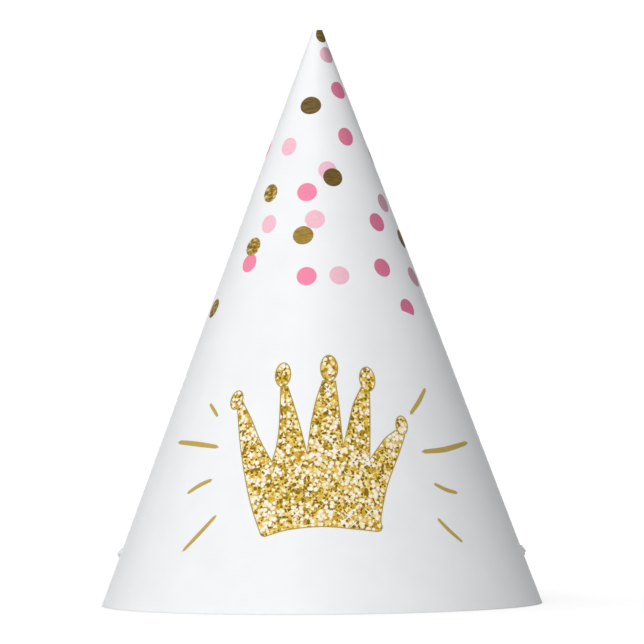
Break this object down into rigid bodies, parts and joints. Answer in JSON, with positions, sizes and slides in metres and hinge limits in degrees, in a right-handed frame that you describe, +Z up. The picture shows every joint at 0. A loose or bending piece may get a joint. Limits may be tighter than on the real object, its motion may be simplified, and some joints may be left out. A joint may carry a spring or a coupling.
{
  "type": "party hat",
  "caption": "Cone-shaped party hat of rolled printed card with a lapped back seam, a blunt open tip, an open rim for the head and a thin elastic chin strap knotted through side holes.",
  "frame": {"origin": "centre of the rim circle, in the plane the hat stands on", "axes": "+Z up the cone's axis to the tip, -Y towards the printed front, +Y towards the seam, +X to the right as the front is seen"},
  "size_m": [0.1366, 0.1372, 0.1784],
  "materials": {
    "card": "coated white card, satin outside and matt inside",
    "tape": "thin translucent double-sided adhesive tape",
    "cord_cover": "fine white braid",
    "cord_core": "natural rubber thread",
    "print_gold_glitter": "printed gold glitter",
    "print_gold": "printed gold ink",
    "print_hot_pink": "printed pink ink",
    "print_light_pink": "printed pale pink ink"
  },
  "bodies": {
    "hat": {"cone_sheet": "card", "seam_tape": "tape", "knot_left": "cord_cover", "knot_right": "cord_cover"},
    "strap": {"strap_leg_left": "cord_cover", "strap_leg_left_core": "cord_core", "strap_leg_right": "cord_cover", "strap_leg_right_core": "cord_core"},
    "strap_middle": {"strap_bight": "cord_cover", "strap_bight_core": "cord_core"}
  },
  "joints": [
    {"name": "strap_swing", "type": "hinge", "parent": "hat", "child": "strap", "pos_m": [0, 0.01186, 0.01592], "axis": [1, 0, 0], "range_deg": [0, 90]},
    {"name": "strap_stretch", "type": "slide", "parent": "strap", "child": "strap_middle", "axis": [0, -0.9823, -0.1874], "range_m": [0, 0.09]}
  ],
  "couplings": [
    {"joint": "strap_stretch", "follows": "strap_swing", "m_per_rad": 0.0572}
  ]
}
